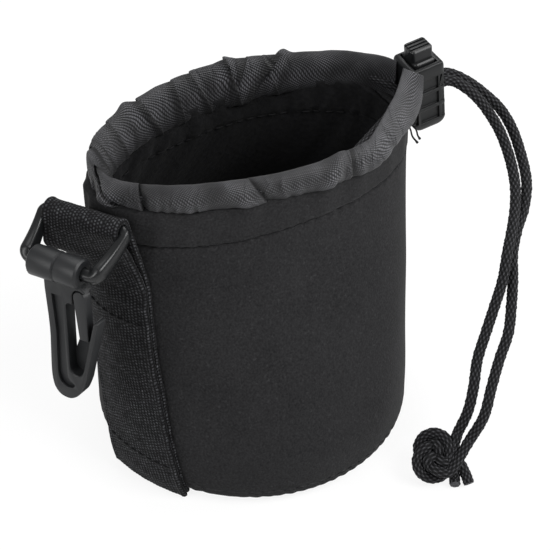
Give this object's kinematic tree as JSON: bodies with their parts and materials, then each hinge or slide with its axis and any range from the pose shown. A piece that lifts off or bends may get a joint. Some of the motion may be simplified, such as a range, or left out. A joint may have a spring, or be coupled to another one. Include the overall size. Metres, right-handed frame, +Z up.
{
  "type": "lens pouch",
  "caption": "Soft cylindrical drawstring pouch with a twill collar, a sprung cord lock, a knotted cord, and a side webbing strap that carries a ring and a swinging snap hook.",
  "frame": {"origin": "centre of the round base's underside, where the pouch stands on the floor", "axes": "+Z up through the mouth, +X towards the cord lock, +Y to the back of the oval mouth as the picture shows it; the strap and hook are on the -X side"},
  "size_m": [0.1413, 0.1074, 0.0976],
  "materials": {
    "base_panel": "black neoprene disc faced with matte knit",
    "base_stitching": "twisted black sewing thread",
    "side_wall": "black neoprene faced with a matte fine knit",
    "wall_lining": "short black plush pile",
    "base_lining": "short black plush pile",
    "hem_stitching_outer": "twisted black sewing thread",
    "hem_stitching_inner": "twisted black sewing thread",
    "collar": "charcoal diagonal twill with a faint sheen",
    "channel_cord": "braided black cord",
    "lock_body": "moulded black acetal, glossy",
    "lock_button": "moulded black acetal, glossy",
    "lock_spring": "drawn spring wire",
    "cord_run_a": "braided black cord",
    "cord_run_b": "braided black cord",
    "cord_knot": "braided black cord, knotted",
    "cord_tail_a": "braided black cord, frayed end",
    "cord_tail_b": "braided black cord, frayed end",
    "webbing_strap": "coarse black ribbed webbing",
    "strap_stitch_upper": "twisted black sewing thread",
    "strap_stitch_lower": "twisted black sewing thread",
    "strap_ring": "moulded black plastic, half gloss",
    "hook_body": "moulded dark grey plastic, satin",
    "hook_gate": "moulded dark grey plastic, satin"
  },
  "bodies": {
    "pouch": {"base_panel": "base_panel", "base_stitching": "base_stitching", "side_wall": "side_wall", "wall_lining": "wall_lining", "base_lining": "base_lining", "hem_stitching_outer": "hem_stitching_outer", "hem_stitching_inner": "hem_stitching_inner", "collar": "collar", "channel_cord": "channel_cord", "lock_body": "lock_body", "lock_spring": "lock_spring", "cord_run_a": "cord_run_a", "cord_run_b": "cord_run_b", "cord_knot": "cord_knot", "cord_tail_a": "cord_tail_a", "cord_tail_b": "cord_tail_b", "webbing_strap": "webbing_strap", "strap_stitch_upper": "strap_stitch_upper", "strap_stitch_lower": "strap_stitch_lower"},
    "ring": {"strap_ring": "strap_ring"},
    "hook": {"hook_body": "hook_body"},
    "gate": {"hook_gate": "hook_gate"},
    "button": {"lock_button": "lock_button"}
  },
  "joints": [
    {"name": "ring_swing", "type": "hinge", "parent": "pouch", "child": "ring", "pos_m": [-0.0468, -0.002, 0.0809], "axis": [-0.4973, 0.8613, -0.1045], "range_deg": [-7, 100]},
    {"name": "hook_swing", "type": "hinge", "parent": "ring", "child": "hook", "pos_m": [-0.05707, -0.00865, 0.07497], "axis": [-0.4973, 0.8613, -0.1045], "range_deg": [-7, 120]},
    {"name": "gate_flex", "type": "hinge", "parent": "hook", "child": "gate", "pos_m": [-0.05424, -0.01522, 0.06954], "axis": [0.8652, 0.4834, -0.1333], "range_deg": [0, 12], "stiffness_Nm_per_rad": 0.02, "springref_deg": -5.73},
    {"name": "lock_press", "type": "slide", "parent": "pouch", "child": "button", "axis": [0.0872, 0, -0.9962], "range_m": [0, 0.0032], "stiffness_N_per_m": 400, "springref_m": -0.004, "deforming": ["lock_spring"]}
  ]
}
